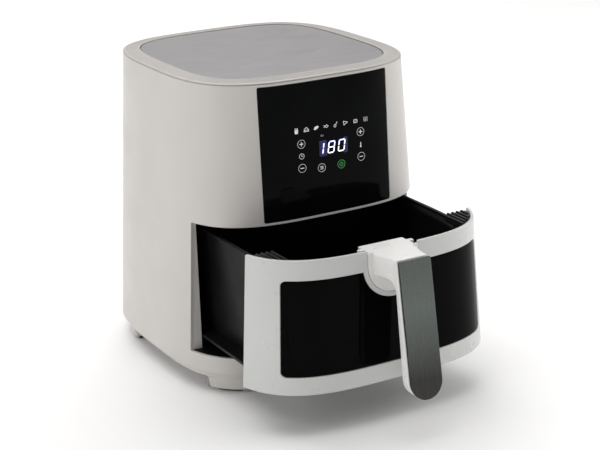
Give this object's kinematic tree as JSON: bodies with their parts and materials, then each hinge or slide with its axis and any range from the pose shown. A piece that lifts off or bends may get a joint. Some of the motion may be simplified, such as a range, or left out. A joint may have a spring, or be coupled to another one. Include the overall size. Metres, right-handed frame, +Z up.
{
  "type": "air fryer",
  "caption": "Countertop air fryer with a windowed pull-out drawer, upright handle, crisper plate, touch panel and hot air system; drawer partly open.",
  "frame": {"origin": "On the surface it stands on, under the middle of the whole object's box with the drawer as it stands open.", "axes": "+Z up, the drawer and the control panel face -Y, +X to the right as seen from the front."},
  "size_m": [0.2886, 0.4758, 0.3245],
  "materials": {
    "shell_cream": "satin moulded, warm off-white",
    "handle_white": "semi-gloss moulded",
    "top_grey": "satin, finely brushed",
    "panel_black": "high gloss",
    "plastic_black": "satin moulded",
    "plastic_white": "moulded",
    "board_green": "solder mask",
    "rubber_black": "matt",
    "silicone_grey": "matt",
    "steel": "bare sheet",
    "steel_dark": "polished, dark",
    "coated_black": "non-stick, semi-gloss",
    "element": "heat-tinted sheath",
    "smoked_glass": "smoked, polished"
  },
  "bodies": {
    "body": {"outer_shell": "shell_cream", "rear_cover": "shell_cream", "rear_screw_1": "steel", "rear_screw_2": "steel", "rear_screw_3": "steel", "rear_screw_4": "steel", "cord_inlet": "plastic_black", "top_rim": "shell_cream", "top_plate": "top_grey", "control_glass": "panel_black", "control_frame": "plastic_black", "control_board": "board_green", "led_display": "panel_black", "base_tray": "shell_cream", "foot_pad_front_left": "rubber_black", "foot_pad_front_right": "rubber_black", "foot_pad_rear_left": "rubber_black", "foot_pad_rear_right": "rubber_black", "base_screw_1": "steel", "base_screw_2": "steel", "base_screw_3": "steel", "base_screw_4": "steel", "cavity_liner": "coated_black", "rail_left": "coated_black", "rail_right": "coated_black", "heater_housing": "steel", "heat_shield": "steel", "heating_element": "element", "heater_guard": "steel", "temperature_probe": "steel", "thermal_fuse": "plastic_white", "motor": "steel_dark", "motor_bracket": "steel", "power_board": "board_green", "exhaust_duct": "plastic_black", "interlock_switch": "plastic_black"},
    "rotor": {"motor_shaft": "steel", "hot_air_fan": "steel", "cooling_fan": "plastic_black"},
    "plunger": {"interlock_plunger": "plastic_white"},
    "drawer": {"drawer_front": "shell_cream", "window_outer": "smoked_glass", "window_gasket": "rubber_black", "drawer_inner_frame": "plastic_black", "pan": "coated_black", "window_inner": "smoked_glass", "window_inner_frame": "plastic_black", "runner_left": "coated_black", "runner_right": "coated_black", "interlock_tab": "plastic_black", "handle_arm": "handle_white", "handle_plate": "steel_dark", "handle_core": "plastic_black", "handle_screw_1": "steel", "handle_screw_2": "steel"},
    "crisper": {"crisper_plate": "coated_black", "bumper_front_left": "silicone_grey", "bumper_front_right": "silicone_grey", "bumper_rear_left": "silicone_grey", "bumper_rear_right": "silicone_grey"}
  },
  "joints": [
    {"name": "drawer_slide", "type": "slide", "parent": "body", "child": "drawer", "axis": [0, -1, 0], "range_m": [-0.116, 0.15]},
    {"name": "crisper_lift", "type": "slide", "parent": "drawer", "child": "crisper", "axis": [0, 0, 1], "range_m": [0, 0.1]},
    {"name": "fan_spin", "type": "hinge", "parent": "body", "child": "rotor", "pos_m": [0, 0.10067, 0.2], "axis": [0, 0, 1], "continuous": true},
    {"name": "interlock_press", "type": "slide", "parent": "body", "child": "plunger", "axis": [0, 1, 0], "range_m": [0, 0.002], "stiffness_N_per_m": 300, "springref_m": -0.002}
  ]
}
